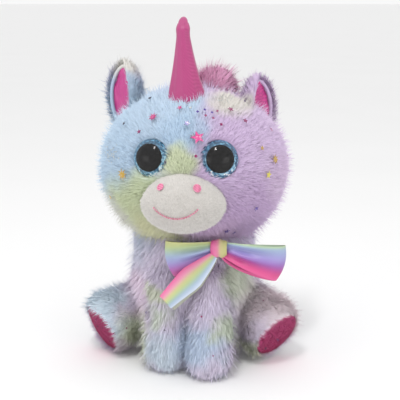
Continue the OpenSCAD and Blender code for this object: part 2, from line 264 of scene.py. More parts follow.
def woven(name, colour, dark, thread_mm, roughness, sheen):
    """Satin-faced cloth: fine diagonal threads that give a soft streak of light."""
    material, tree, shader = finish(
        name, Roughness=roughness, Sheen_Weight=sheen, Specular_IOR_Level=0.5, Anisotropic=0.5
    )
    where = add(tree, "TexCoord").outputs["Object"]
    slanted = add(tree, "Mapping", {"Vector": where, "Rotation": (0.3, 0.5, 0.8)}).outputs[0]
    scale = 1 / (6 * thread_mm * MM)
    threads = add(tree, "TexWave", {"Vector": slanted, "Scale": scale, "Distortion": 0.6}).outputs["Fac"]
    blotch = speckle(tree, where, 220.0, 3.0)
    both = add(tree, "Math", {0: threads, 1: blotch}, operation="MULTIPLY").outputs[0]
    coloured(tree, shader, both, linear(dark), linear(colour))
    bumped(tree, shader, threads, 0.08 * MM, 0.5)
    return material


horn_cloth = woven("satin_knit_pink", "#B8447E", "#A2366E", 0.4, 0.45, 0.2)
ear_cloth = woven("foiled_satin_pink", "#E0509A", "#B0347E", 0.6, 0.3, 0.1)


def satin(name, stops):
    """Printed double-face satin ribbon: dye shades across its width, with fine threads along it."""
    material, tree, shader = finish(
        name, Roughness=0.32, Sheen_Weight=0.1, Specular_IOR_Level=0.55, Anisotropic=0.6
    )
    uv = add(tree, "UVMap", uv_map="width").outputs["UV"]
    parts = add(tree, "SeparateXYZ", {0: uv})
    across = ramp(tree, parts.outputs["Y"], stops, "B_SPLINE")
    stretched = add(tree, "Mapping", {"Vector": uv, "Scale": (3.0, 90.0, 1.0)}).outputs[0]
    threads = add(tree, "TexNoise", {"Vector": stretched, "Scale": 60.0, "Detail": 2.0})
    shade = add(tree, "MapRange", {"Value": threads.outputs["Fac"], "To Min": 0.9, "To Max": 1.08})
    colour = add(tree, "VectorMath", {0: across, "Scale": shade.outputs["Result"]}, operation="SCALE")
    tree.links.new(colour.outputs[0], shader.inputs["Base Color"])
    bumped(tree, shader, threads.outputs["Fac"], 0.05 * MM, 0.4)
    return material


PINK, YELLOW, GREEN = "#C93A76", "#C4C084", "#AFC486"
BLUE, LAVENDER, PURPLE, GREY = "#98B0D2", "#9C90C8", "#8C58AE", "#A6A896"
left_satin = satin(
    "satin_ribbon_left",
    [(0.0, "#CC4684"), (0.24, "#A06CB8"), (0.38, LAVENDER), (0.6, BLUE), (0.8, GREEN), (1.0, YELLOW)],
)
right_satin = satin(
    "satin_ribbon_right",
    [(0.0, "#E0609A"), (0.2, PINK), (0.42, PURPLE), (0.62, LAVENDER), (0.9, BLUE), (1.0, GREEN)],
)
tail_satin = satin(
    "satin_ribbon_tail",
    [(0.0, "#DCE6F2"), (0.22, BLUE), (0.42, GREEN), (0.62, YELLOW), (0.78, "#E08FB4"), (1.0, "#D9588F")],
)
back_satin = satin("satin_ribbon_reverse", [(0.0, GREY), (0.5, "#B4B6B0"), (1.0, "#9FA2A6")])
knot_satin = satin(
    "satin_ribbon_knot", [(0.0, "#E0589A"), (0.45, "#E07FA8"), (0.6, YELLOW), (1.0, "#B9B878")]
)


def thread(name, colour, light):
    """Rayon embroidery thread: painted highlight and shade in bands along each stitch, where light would
    catch the twist.
    """
    material, tree, shader = finish(name, Roughness=0.45, Sheen_Weight=0.3, Specular_IOR_Level=0.5)
    where = add(tree, "TexCoord").outputs["Object"]
    coil = {"Vector": where, "Scale": 260.0, "Distortion": 1.0}
    twist = add(tree, "TexWave", coil, bands_direction="DIAGONAL")
    # painted highlight: the light colour is mixed in bands along the twist
    coloured(tree, shader, twist.outputs["Fac"], linear(colour), linear(light))
    bumped(tree, shader, twist.outputs["Fac"], 0.05 * MM)
    return material


nostril_thread = thread("rayon_thread_rose", "#D0608C", "#EFA0BE")
smile_thread = thread("rayon_thread_deep_pink", "#B82E62", "#E88CAE")


def fibre(name, colour, scale):
    """Hollow polyester fibre and other loose white goods inside the covers."""
    material, tree, shader = finish(name, Roughness=0.9, Sheen_Weight=0.3)
    where = add(tree, "TexCoord").outputs["Object"]
    fluff = speckle(tree, where, scale, 6.0)
    coloured(tree, shader, fluff, linear("#B8B8B4"), linear(colour))
    bumped(tree, shader, fluff, 0.6 * MM)
    return material


fibrefill = fibre("hollow_polyester_fibrefill", "#F4F3F0", 260.0)
bag_cloth = fibre("nonwoven_pellet_bag", "#E6E6E2", 520.0)


def moulded(name, colour, roughness, coat=0.0):
    """Injection-moulded plastic: a faint uneven gloss from the mould, under a clear coat where it has one."""
    material, tree, shader = finish(name, Specular_IOR_Level=0.14, Coat_Weight=coat, Coat_Roughness=0.02)
    where = add(tree, "TexCoord").outputs["Object"]
    grain = speckle(tree, where, 900.0)
    faint = add(tree, "MapRange", {"Value": grain, "To Min": 0.0, "To Max": 0.03}).outputs["Result"]
    coloured(tree, shader, faint, linear(colour), linear("#FFFFFF"))
    span_of = {"Value": grain, "To Min": roughness * 0.8, "To Max": roughness * 1.2}
    spread = add(tree, "MapRange", span_of).outputs["Result"]
    tree.links.new(spread, shader.inputs["Roughness"])
    return material


pupil_plastic = moulded("painted_acrylic_black", "#030203", 0.1, 0.12)
shank_plastic = moulded("polypropylene_black", "#1A1A1C", 0.4)
washer_plastic = moulded("polyethylene_natural", "#DCDCD8", 0.5)


def glitter():
    """Hexagonal glitter in clear lacquer over teal paint: dark flakes, with painted glints that make them
    brighter and whiter low in the eye.
    """
    material, tree, shader = finish(
        "teal_glitter_lacquer", Roughness=0.4, Coat_Weight=1.0, Coat_Roughness=0.03
    )
    where = add(tree, "TexCoord").outputs["Object"]
    flakes = add(tree, "TexVoronoi", {"Vector": where, "Scale": 950.0}).outputs["Color"]
    one = add(tree, "SeparateColor", {0: flakes}).outputs["Red"]
    height = add(tree, "SeparateXYZ", {0: where}).outputs["Z"]
    middle_z = (middle("left_eye_pupil").z + middle("right_eye_pupil").z) / 2
    # painted glints: flakes lower in the eye are pushed towards white
    glint_by_height = {"Value": height, "From Min": middle_z + 5 * MM, "From Max": middle_z - 9 * MM, "To Max": 0.3}
    low = add(tree, "MapRange", glint_by_height).outputs["Result"]
    flake_and_glint = add(tree, "Math", {0: one, 1: 0.75, 2: low}, operation="MULTIPLY_ADD").outputs[0]
    stops = [(0.0, "#143850"), (0.5, "#2E6484"), (0.72, "#6CA6C6"), (0.9, "#B4DFEE"), (1.0, "#FFFFFF")]
    tree.links.new(ramp(tree, flake_and_glint, stops), shader.inputs["Base Color"])
    return material


glitter_disc = glitter()


def clear_dome():
    """Cast clear acrylic: almost nothing but its reflections over what is under it."""
    material, tree, shader = finish("cast_clear_acrylic", Roughness=0.02, IOR=1.49, Alpha=0.05)
    where = add(tree, "TexCoord").outputs["Object"]
    haze = speckle(tree, where, 60.0)
    coloured(tree, shader, haze, linear("#0A0E12"), linear("#10161A"))
    return material


dome_acrylic = clear_dome()


def foil():
    """Hot-stamped foil: a thin mirror whose colour changes from print to print."""
    material, tree, shader = finish("hot_stamped_foil", Metallic=0.85, Roughness=0.28)
    colour = add(tree, "Attribute", attribute_name="foil").outputs["Color"]
    where = add(tree, "TexCoord").outputs["Object"]
    worn = speckle(tree, where, 900.0)
    share = add(tree, "MapRange", {"Value": worn, "From Min": 0.5, "From Max": 0.8, "To Max": 0.6})
    coloured(tree, shader, share.outputs["Result"], colour, linear("#F4E8F0"))
    return material


star_foil = foil()


# ---- Shapes ----


def new_piece(name, bm, material, body, *replaced):
    """Makes a bmesh into a smooth piece that rides on a body and stands for CAD nodes."""
    mesh = bpy.data.meshes.new(name)
    bm.to_mesh(mesh)
    bm.free()
    mesh.shade_smooth()
    mesh.materials.append(material)
    obj = bpy.data.objects.new(name, mesh)
    bpy.context.scene.collection.objects.link(obj)
    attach(obj, body)
    if replaced:
        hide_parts(*replaced)
    return obj


def moved(bm, matrix):
    bmesh.ops.transform(bm, matrix=matrix, verts=bm.verts)
    return bm


def placed(centre, axis):
    """The turn and move that takes +Z to an axis at a centre."""
    return Matrix.Translation(centre) @ Vector(axis).to_track_quat("Z", "Y").to_matrix().to_4x4()


def ball(centre, semi, fineness=5):
    bm = bmesh.new()
    bmesh.ops.create_icosphere(bm, subdivisions=fineness, radius=1)
    return moved(bm, Matrix.Translation(centre) @ Matrix.Diagonal((*semi, 1)))


def turned(profile, steps=48):
    """A round form about Z from (radius, height) points, in metres."""
    bm = bmesh.new()
    verts = [bm.verts.new((max(r, 0), 0, z)) for r, z in profile]
    edges = [bm.edges.new(pair) for pair in zip(verts, verts[1:], strict=False)]
    bmesh.ops.spin(
        bm, geom=verts + edges, cent=(0, 0, 0), axis=(0, 0, 1), angle=2 * math.pi, steps=steps, use_merge=True
    )
    bmesh.ops.remove_doubles(bm, verts=bm.verts, dist=1e-6)
    bmesh.ops.recalc_face_normals(bm, faces=bm.faces)
    return bm


def limb_profile(root_r, end_r, length, rows=14):
    """Half outline of a stuffed limb: round root, taper, round end."""
    quarter = [math.pi / 2 * i / rows for i in range(rows + 1)]
    start = [(root_r * math.sin(a), -root_r * math.cos(a)) for a in quarter]
    taper = [(root_r + (end_r - root_r) * i / rows, length * i / rows) for i in range(1, rows)]
    return start + taper + [(end_r * math.cos(a), length + end_r * math.sin(a)) for a in quarter]


def lumpy(bm, size_mm, height_mm, seed):
    """Lets the stuffing show through a cover as low soft lumps."""
    bm.normal_update()
    start = Vector((seed, 0.5 * seed, 0))
    for v in bm.verts:
        v.co += v.normal * height_mm * MM * noise.noise(v.co / (size_mm * MM) + start)
    return bm


def above_floor(bm, clear_mm=0.4):
    for v in bm.verts:
        v.co.z = max(v.co.z, clear_mm * MM)
    return bm


# ---- Fur ----


def unit(v):
    return v / np.maximum(np.linalg.norm(v, axis=1, keepdims=True), 1e-12)


def blade():
    """One strand: a narrow strip that comes to a point. Gives its (side, along) points and its faces."""
    bm = bmesh.new()
    bmesh.ops.create_grid(bm, x_segments=1, y_segments=2, size=1)
    tip = [v for v in bm.verts if v.co.y > 0.9]
    bmesh.ops.pointmerge(bm, verts=tip, merge_co=(0, 1, 0))
    bm.verts.index_update()
    points = [(v.co.x, (v.co.y + 1) / 2) for v in bm.verts]
    faces = [[v.index for v in f.verts] for f in bm.faces]
    bm.free()
    return points, faces


BLADE_POINTS, BLADE_FACES = blade()


def grow(
    name, skin, body, material, count, length_mm, comb, seed, keep=None,
    thick_mm=0.42, lean=0.5, clump=0.35, wild=0.3,
):  # fmt: skip
    """Sets count copies of the strand on a cover.

    comb gives the way the pile lies and keep thins it out. lean is how flat it lies, clump how far the
    tips of a tuft draw together, and wild how much single strands stray.
    """
    rng = np.random.default_rng(seed)
    mesh = skin.data
    mesh.calc_loop_triangles()
    points = np.array([v.co for v in mesh.vertices])
    normals = np.array([v.normal for v in mesh.vertices])
    corners = np.array([t.vertices for t in mesh.loop_triangles])
    a, b, c = (points[corners[:, i]] for i in range(3))
    weight = np.linalg.norm(np.cross(b - a, c - a), axis=1)
    if keep:
        weight = weight * keep((a + b + c) / 3)
    pick = rng.choice(len(corners), count, p=weight / weight.sum())
    u, v = rng.random((2, count))
    over = u + v > 1
    u[over], v[over] = 1 - u[over], 1 - v[over]
    u, v = u[:, None], v[:, None]
    root = a[pick] * (1 - u - v) + b[pick] * u + c[pick] * v
    na, nb, nc = (normals[corners[pick, i]] for i in range(3))
    out = unit(na * (1 - u - v) + nb * u + nc * v)
    way = comb(root) + rng.normal(0, wild, (count, 3))
    lie = unit(way - out * (way * out).sum(1, keepdims=True))
    size = (length_mm(root / MM) if callable(length_mm) else np.full(count, length_mm)) * MM
    loose = rng.random((count, 1)) < 0.1
    size = (size * rng.uniform(0.55, 1.2, count))[:, None] * np.where(loose, 1.4, 1.0)
    lean = lean * np.where(loose, 0.6, 1.0)
    stand = unit(out * (1 - lean) + lie * lean)
    fall = unit(out * (1 - lean) * 0.5 + lie * lean)
    twist = rng.normal(0, 0.5, (count, 1))
    side = unit(np.cross(lie, out)) * np.cos(twist) + out * np.sin(twist)
    middle_of = root + stand * size * 0.5
    tip = middle_of + fall * size * 0.5
    hearts = rng.choice(count, max(count // 22, 1), replace=False)
    tree = KDTree(len(hearts))
    for i, heart in enumerate(hearts):
        tree.insert(root[heart], i)
    tree.balance()
    group = np.array([tree.find(r)[1] for r in root])
    total = np.maximum(np.bincount(group), 1)
    gathered = np.stack([np.bincount(group, tip[:, i]) / total for i in range(3)], axis=1)
    tip += (gathered[group] - tip) * clump * np.where(loose, 0.3, 1.0)
    spine = np.stack([root - out * 0.4 * MM, middle_of, tip], axis=1)
    half = np.array([1.0, 0.75, 0.0]) * thick_mm * MM / 2
    rows = [int(round(t * 2)) for _, t in BLADE_POINTS]
    sides = [s for s, _ in BLADE_POINTS]
    co = np.stack([spine[:, r] + side * half[r] * s for r, s in zip(rows, sides, strict=True)], axis=1)
    co[:, :, 2] = np.maximum(co[:, :, 2], 0.15 * MM)
    soft = unit(out * 0.9 + (out * lean - lie * (1 - lean)) * 0.4 + rng.normal(0, 0.12, (count, 3)))
    per = len(BLADE_POINTS)
    start = np.arange(count)[:, None] * per
    loops = np.concatenate([start + np.array(f) for f in BLADE_FACES], axis=1).ravel()
    sizes = np.tile([len(f) for f in BLADE_FACES], count)
    fur = bpy.data.meshes.new(name)
    fur.vertices.add(count * per)
    fur.vertices.foreach_set("co", co.astype(np.float32).ravel())
    fur.loops.add(len(loops))
    fur.loops.foreach_set("vertex_index", loops.astype(np.int32))
    fur.polygons.add(len(sizes))
    fur.polygons.foreach_set("loop_start", (np.cumsum(sizes) - sizes).astype(np.int32))
    fur.update(calc_edges=True)
    fur.shade_smooth()
    fur.normals_split_custom_set_from_vertices(np.repeat(soft, per, axis=0))
    along = fur.attributes.new("along", "FLOAT", "POINT")
    along.data.foreach_set("value", np.tile([t for _, t in BLADE_POINTS], count).astype(np.float32))
    shade = fur.attributes.new("strand", "FLOAT", "POINT")
    shade.data.foreach_set("value", np.repeat(rng.random(count), per).astype(np.float32))
    fur.materials.append(material)
    obj = bpy.data.objects.new(name, fur)
    bpy.context.scene.collection.objects.link(obj)
    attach(obj, body)


def away_from(point_mm, drop=0.0):
    """Pile that lies away from a point, and hangs by drop."""
    start = np.array(point_mm) * MM
    return lambda root: unit(root - start) + np.array([0, 0, -drop])


def towards(direction):
    aim = np.array(direction, float)
    return lambda root: np.tile(aim / np.linalg.norm(aim), (len(root), 1))


def outside_of(centre, radius):
    """1 outside a round area and 0 inside it."""
    middle_at = np.array(centre)
    return lambda at: (np.linalg.norm(at - middle_at, axis=1) > radius).astype(float)


# ---- Head ----

SKIN_IN = 0.9 * MM  # the cover lies this far inside its CAD solid, and its pile fills the rest
eyes = {}
for name in ("left", "right"):
    pupil = middle(f"{name}_eye_pupil")
    eyes[name] = (pupil, (pupil - middle(f"{name}_eye_washer")).normalized())

head_bm = ball(head_centre, head_semi - Vector((SKIN_IN,) * 3), 6)
lumpy(head_bm, 34, 0.7, 3)
EYE_SEAT = 13.2 * MM
for v in head_bm.verts:
    for place, axis in eyes.values():
        off = v.co - place
        height = off.dot(axis)
        if (off - axis * height).length < EYE_SEAT and height > -1.6 * MM and off.length < 20 * MM:
            v.co -= axis * (height + 1.6 * MM)
head_cover = new_piece("head_cover", head_bm, head_plush, "head", *HEAD_PANELS)

nose_mm = np.array(middle("muzzle_cover")) / MM
muzzle_low, muzzle_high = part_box("muzzle_cover")
muzzle_semi = (muzzle_high - muzzle_low) / 2
muzzle_centre = Vector((middle("muzzle_cover").x, muzzle_low.y + 21 * MM, middle("muzzle_cover").z))


def head_keep(at):
    """No pile under the eyes, the muzzle or the horn."""
    kept = np.ones(len(at))
    for place, _ in eyes.values():
        kept *= outside_of(place, 13.0 * MM)(at)
    scaled = (at - np.array(muzzle_centre)) / (np.array([muzzle_semi.x, 21 * MM, muzzle_semi.z]) * 0.97)
    kept *= np.linalg.norm(scaled, axis=1) > 1
    kept *= outside_of(anchors["horn"], 11.5 * MM)(at)
    return kept


def front_keep(at):
    return head_keep(at) * (at[:, 1] < -8 * MM)


def back_keep(at):
    return head_keep(at) * (at[:, 1] >= -8 * MM)


def head_pile(at_mm):
    """Short on the face, longer on the cheeks and the back."""
    return 4.4 + 3.4 * np.clip((at_mm[:, 1] + 44) / 34, 0, 1) + 2.6 * np.clip((116 - at_mm[:, 2]) / 22, 0, 1)


face_comb = away_from((nose_mm[0], -64, nose_mm[2] + 8), drop=0.15)
grow(
    "head_front_pile", head_cover, "head", head_plush, 64000, head_pile, face_comb, 11,
    front_keep, thick_mm=0.34, lean=0.48, clump=0.22,
)  # fmt: skip
grow(
    "head_back_pile", head_cover, "head", head_plush, 46000, 8.0, face_comb, 12,
    back_keep, thick_mm=0.4, lean=0.48, clump=0.25,
)  # fmt: skip

# ---- Muzzle, nostrils and smile ----

muzzle_bm = ball((0, 0, 0), (1, 1, 1), 5)
for v in muzzle_bm.verts:
    x, y, z = v.co
    narrow = 1 - 0.24 * max(z, 0) ** 1.3 + 0.02 * max(-z, 0)
    flat = 1 - 0.05 * max(z, 0) ** 4 * (1 - x * x)
    v.co = Vector((x * narrow, y, z * flat * (1.1 if z > 0 else 1)))
moved(
    muzzle_bm,
    Matrix.Translation(muzzle_centre)
    @ Matrix.Diagonal((muzzle_semi.x - 0.4 * MM, 20.6 * MM, muzzle_semi.z - 0.4 * MM, 1)),
)
lumpy(muzzle_bm, 16, 0.5, 5)
muzzle_tree = BVHTree.FromBMesh(muzzle_bm)
muzzle = new_piece("muzzle_cover_minky", muzzle_bm, muzzle_plush, "head", "muzzle_cover")
grow(
    "muzzle_pile", muzzle, "head", muzzle_plush, 40000, 1.3, away_from((0, -90, 118)), 21,
    lambda at: (at[:, 1] < -45 * MM).astype(float), thick_mm=0.26, lean=0.6, clump=0.1, wild=0.15,
)  # fmt: skip


def on_front(tree, x, z):
    """Where a line along Y meets a surface from the front: the point and the surface's normal."""
    place, normal, _, _ = tree.ray_cast(Vector((x, -0.2, z)), Vector((0, 1, 0)))
    return place, normal


def stitch(bm, centre, along, normal, length, width, height):
    """One raised stitch: a rounded grain that lies along the cloth."""
    side = normal.cross(along).normalized()
    turn = Matrix((side, along, normal)).transposed().to_4x4()
    made = bmesh.ops.create_uvsphere(bm, u_segments=8, v_segments=6, radius=1)
    bmesh.ops.transform(
        bm,
        matrix=Matrix.Translation(centre) @ turn @ Matrix.Diagonal((width / 2, length / 2, height, 1)),
        verts=made["verts"],
    )


def nostril(name):
    """Satin stitch: a ring round rows of thread."""
    low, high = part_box(name)
    aside = 1.0 * MM * (1 if low.x > muzzle_centre.x else -1)
    centre, normal = on_front(muzzle_tree, (low.x + high.x) / 2 + aside, (low.z + high.z) / 2 + 3 * MM)
    right = Vector((1, 0, 0))
    right = (right - normal * right.dot(normal)).normalized()
    up = normal.cross(right).normalized()
    up = up if up.z > 0 else -up
    half_w, half_h = (high.x - low.x) / 2, (high.z - low.z) / 2
    bm = bmesh.new()
    for i in range(-3, 4):
        row = i / 3.6
        chord = half_w * math.sqrt(1 - row * row)
        spot = centre + up * half_h * row + normal * 0.9 * MM
        stitch(bm, spot, right, normal, 2 * chord, 0.8 * MM, 0.45 * MM)
    for i in range(16):
        turn = 2 * math.pi * i / 16
        spot = centre + right * half_w * math.cos(turn) + up * half_h * math.sin(turn) + normal * 1.0 * MM
        way = (up * half_h * math.cos(turn) - right * half_w * math.sin(turn)).normalized()
        stitch(bm, spot, way, normal, 1.3 * MM, 0.8 * MM, 0.5 * MM)
    obj = new_piece(name + "_stitching", bm, nostril_thread, "head", name)


nostril("left_nostril")
nostril("right_nostril")

smile_low, smile_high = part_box("smile_stitches")
smile_r = 19 * MM
smile_mid = Vector(((smile_low.x + smile_high.x) / 2, 0, smile_low.z + smile_r + 5.4 * MM))
smile_bm = bmesh.new()
for i in range(-11, 12):
    turn = math.radians(-90 + 4.1 * i)
    place, normal = on_front(
        muzzle_tree, smile_mid.x + smile_r * math.cos(turn), smile_mid.z + smile_r * math.sin(turn)
    )
    along = Vector((-math.sin(turn), 0, math.cos(turn)))
    along = (along - normal * along.dot(normal)).normalized()
    tilt = 0.9 if i % 2 else -0.3
    along = (along + normal.cross(along) * tilt).normalized()
    stitch(smile_bm, place + normal * 1.0 * MM, along, normal, 1.1 * MM, 1.15 * MM, 0.6 * MM)
smile = new_piece("smile_stitching", smile_bm, smile_thread, "head", "smile_stitches")

# ---- Eyes ----


def eye(name):
    place, axis = eyes[name]
    low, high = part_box(f"{name}_eye_dome")
    radius = 12.5 * MM
    rise = 7.0 * MM
    cap_r = (radius**2 + rise**2) / (2 * rise)
    rows = 20
    limit = math.asin(radius / cap_r)
    cap = [
        (cap_r * math.sin(limit * i / rows), cap_r * (math.cos(limit * i / rows) - 1) + rise)
        for i in range(rows + 1)
    ]
    profile = cap + [(radius, -0.35 * MM), (0, -0.35 * MM)]
    start = placed(place + axis * 0.55 * MM, axis)
    dome_bm = moved(turned(profile, 64), start)
    dome = new_piece(f"{name}_eye_clear_dome", dome_bm, dome_acrylic, "head", f"{name}_eye_dome")
    pupil_r = 9.0 * MM
    under = 0.5 * MM

    def dome_height(r):
        return math.sqrt(cap_r**2 - r * r) - cap_r + rise - under

    inner = [(pupil_r * i / 12, dome_height(pupil_r * i / 12)) for i in range(13)]
    black_bm = moved(turned([*inner, (pupil_r, -0.2 * MM), (0, -0.2 * MM)], 64), placed(place, axis))
    black = new_piece(f"{name}_eye_black_pupil", black_bm, pupil_plastic, "head", f"{name}_eye_pupil")
    rim_r = radius - 0.3 * MM
    rings = [pupil_r - 0.2 * MM + (rim_r - pupil_r + 0.2 * MM) * i / 10 for i in range(11)]
    iris = [(r, dome_height(r) - 0.15 * MM) for r in rings]
    rim = [(0, iris[0][1]), *iris, (rim_r, -0.7 * MM), (0, -0.7 * MM)]
    iris_bm = moved(turned(rim, 64), placed(place, axis))
    disc = new_piece(f"{name}_eye_glitter_iris", iris_bm, glitter_disc, "head", f"{name}_eye_glitter_disc")


eye("left")
eye("right")

# ---- Horn ----

horn_root = anchors["horn"]
HORN_LEAN = Vector((-0.0535, 0, 1)).normalized()
HORN_TAPER = 48.5 * MM
HORN_ROOT_R, HORN_TIP_R = 13.0, 3.2
CURL_START = 42 * MM
rows = 60
horn_profile = [(0, -9 * MM), (11.5 * MM, -8 * MM), (12.8 * MM, -4 * MM)]
for i in range(rows + 1):
    t = i / rows
    knob = 0.9 * math.exp(-(((t - 0.95) / 0.07) ** 2))
    radius = HORN_ROOT_R * (1 - t) + HORN_TIP_R * t - 0.9 * math.sin(math.pi * t) + knob
    horn_profile.append((radius * MM, t * HORN_TAPER))
for i in range(1, 9):
    a = math.pi / 2 * i / 8
    horn_profile.append((HORN_TIP_R * MM * math.cos(a), HORN_TAPER + 4.6 * MM * math.sin(a)))
horn_bm = turned(horn_profile, 96)
for v in horn_bm.verts:
    turn = math.atan2(v.co.y, v.co.x)
    t = max(0, min(1, v.co.z / HORN_TAPER))
    fold = 0.035 * math.sin(5 * turn + 2 * math.sin(3 * t)) + 0.02 * math.sin(11 * turn + 4 * t)
    crease = 0.06 * math.exp(-(((turn - 0.1) / 0.12) ** 2))
    swell = 1 + (fold - crease) * (1 - 0.4 * t)
    v.co.x *= swell
    v.co.y *= swell
    curl = max(0, v.co.z - CURL_START)
    v.co.x -= 50 * curl * curl
horn = new_piece(
    "horn_satin_cover", moved(horn_bm, placed(horn_root, HORN_LEAN)), horn_cloth, "horn", "horn_cover"
)

# ---- Ears ----


EAR_SEMI_MM = (13.0, 8.4, 22)
LINING_SEMI_MM = (11.4, 7.2, 20.6)


def ear(name, turn_deg, shift_mm, size):
    """A leaf of plush folded round its satin lining, open on one side like a cut orange."""
    low, high = span(f"{name}_ear_back")
    centre = (low + high) / 2 + Vector(shift_mm) * MM
    centre.z = high.z - 25 * MM + shift_mm[2] * MM
    turn = Matrix.Rotation(math.radians(turn_deg), 4, "Z")
    start = Matrix.Translation(centre) @ turn
    shell = bmesh.new()
    bmesh.ops.create_uvsphere(shell, u_segments=72, v_segments=40, radius=1)
    gone = []
    for f in shell.faces:
        c = f.calc_center_median()
        if c.y < 0 and abs(math.atan2(c.x, -c.y)) < math.radians(62) and c.z > -0.92:
            gone.append(f)
    bmesh.ops.delete(shell, geom=gone, context="FACES")
    bmesh.ops.recalc_face_normals(shell, faces=shell.faces)
    for v in shell.verts:
        point = 1 - 0.2 * max(v.co.z, 0) ** 2
        v.co.x *= point
    moved(shell, start @ Matrix.Diagonal((*(semi * MM * size for semi in EAR_SEMI_MM), 1)))
    back = new_piece(f"{name}_ear_plush_back", shell, head_plush, f"{name}_ear", f"{name}_ear_back")
    comb = towards((0.0, 0.0, 1.0))
    root = centre.z - 23 * MM

    def ear_keep(at):
        return (at[:, 2] > root + 4 * MM).astype(float)

    grow(
        f"{name}_ear_pile", back, f"{name}_ear", head_plush, 8500, 6.5, comb, 31, ear_keep,
        thick_mm=0.36, lean=0.42, wild=0.5,
    )  # fmt: skip
    wall = back.modifiers.new("wall", "SOLIDIFY")
    wall.thickness = 2.2 * MM
    wall.offset = -1
    lining = bmesh.new()
    bmesh.ops.create_uvsphere(lining, u_segments=72, v_segments=60, radius=1)
    for v in lining.verts:
        v.co.x *= 1 - 0.28 * max(v.co.z, 0) ** 2
        if v.co.y < 0:
            v.co.y *= 0.55 - 0.5 * (1 - v.co.x**2)
    moved(lining, Matrix.Diagonal((*(semi * MM * size for semi in LINING_SEMI_MM), 1)))
    lining.normal_update()
    for v in lining.verts:
        crinkle = noise.noise(Vector((v.co.x / (2.5 * MM), v.co.y / (3 * MM), v.co.z / (7 * MM))))
        v.co += v.normal * crinkle * 0.9 * MM
    moved(lining, start)
    cloth = new_piece(f"{name}_ear_satin_lining", lining, ear_cloth, f"{name}_ear", f"{name}_ear_lining")


ear("left", -42, (2, 0, -2), 1.0)
ear("right", 56, (-5, 0, -8), 0.95)

# ---- Mane ----

mane_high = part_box("mane")[1]
tuft_centre = Vector((13.5 * MM, 6 * MM, mane_high.z - 14.5 * MM))
mane_bm = ball(tuft_centre, (8.0 * MM, 7.5 * MM, 8.0 * MM), 4)
strip = ball(head_centre, head_semi + Vector((-0.4 * MM,) * 3), 6)
far = [
    v
    for v in strip.verts
    if not (abs(v.co.x - head_centre.x) < 7.5 * MM and v.co.y > 8 * MM and v.co.z > 104 * MM)
]
bmesh.ops.delete(strip, geom=far, context="VERTS")
joined = bpy.data.meshes.new("mane_strip")
strip.to_mesh(joined)
strip.free()
mane_bm.from_mesh(joined)
bpy.data.meshes.remove(joined)
mane = new_piece("mane_backing", mane_bm, mane_plush, "head", "mane")


def mane_comb(root):
    start = np.array(tuft_centre) - np.array([4 * MM, -4 * MM, 9 * MM])
    out = unit(root - start)
    blown = np.array([0.5, 0.1, 0.25]) * (root[:, 2:3] > 178 * MM)
    return out + blown + np.array([0, 0, -0.8]) * (root[:, 1:2] > 22 * MM)


grow(
    "mane_pile", mane, "head", mane_plush, 34000, 12.0, mane_comb, 41,
    lean=0.4, clump=0.6, wild=0.6,
)  # fmt: skip

# ---- Body ----

body_low, body_high = span(*TORSO_PANELS)
body_x = (body_low.x + body_high.x) / 2
TORSO_OUTLINE = [  # radius and height in millimetres, from the seat up to the throat under the chin
    (0, 1.2), (18, 1.2), (26, 1.6), (31, 5), (36, 12), (40, 20), (42, 30), (42.2, 38),
    (40.8, 48), (38.6, 57), (37.2, 66), (36.6, 76), (36, 84), (34, 90), (26, 92), (0, 92),
]  # fmt: skip
heights = np.linspace(0, len(TORSO_OUTLINE) - 1, 90)
outline = np.array(TORSO_OUTLINE)
steps_at = np.arange(len(outline))
radii, levels = (np.interp(heights, steps_at, outline[:, i]) for i in (0, 1))
smooth = np.array([1, 2, 3, 2, 1]) / 9
radii += 1.3
radii[2:-2], levels[2:-2] = np.convolve(radii, smooth, "valid"), np.convolve(levels, smooth, "valid")
torso_bm = turned([(r * MM, z * MM) for r, z in zip(radii, levels, strict=True)], 96)
for v in torso_bm.verts:
    v.co.x += body_x
    v.co.y += np.interp(v.co.z / MM, [36, 60], [1, -4]) * MM
lumpy(torso_bm, 26, 1.2, 7)
above_floor(torso_bm, 1.0)
torso = new_piece("torso_cover", torso_bm, body_plush, "torso", *TORSO_PANELS, "seat_panel")


def torso_keep(at):
    """No pile inside the head or under the seat."""
    inside = (at - np.array(head_centre)) / (np.array(head_semi) - 1.5 * MM)
    return (np.linalg.norm(inside, axis=1) > 1) * (at[:, 2] > 1.4 * MM)


down = away_from((0, 0, 190), drop=0.6)
for name, side, seed in (("front", -1, 51), ("back", 1, 52)):
    grow(
        f"torso_{name}_pile", torso, "torso", body_plush, 34000, 9.0, down, seed,
        lambda at, side=side: torso_keep(at) * (side * at[:, 1] > 0),
    )  # fmt: skip


# ---- Front legs ----


def front_leg(name, seed):
    body = f"front_{name}_leg"
    low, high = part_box(f"{body}_cover")
    shoulder = anchors[body]
    paw_r = 12.7 * MM
    paw = Vector(((low.x + high.x) / 2, low.y + paw_r, low.z + paw_r))
    run = paw - shoulder
    bm = turned(limb_profile(10.6 * MM, 12.2 * MM, run.length), 56)
    moved(bm, placed(shoulder, run))
    lumpy(bm, 14, 1.2, seed)
    above_floor(bm)
    cover = new_piece(f"{body}_skin", bm, body_plush, body, f"{body}_cover")
    axis = np.array(run.normalized())
    comb = towards(axis + np.array([0, -0.15, 0]))
    grow(f"{body}_pile", cover, body, body_plush, 27000, 8.0, comb, seed, lean=0.52)


front_leg("left", 61)
front_leg("right", 62)


# ---- Hind legs ----


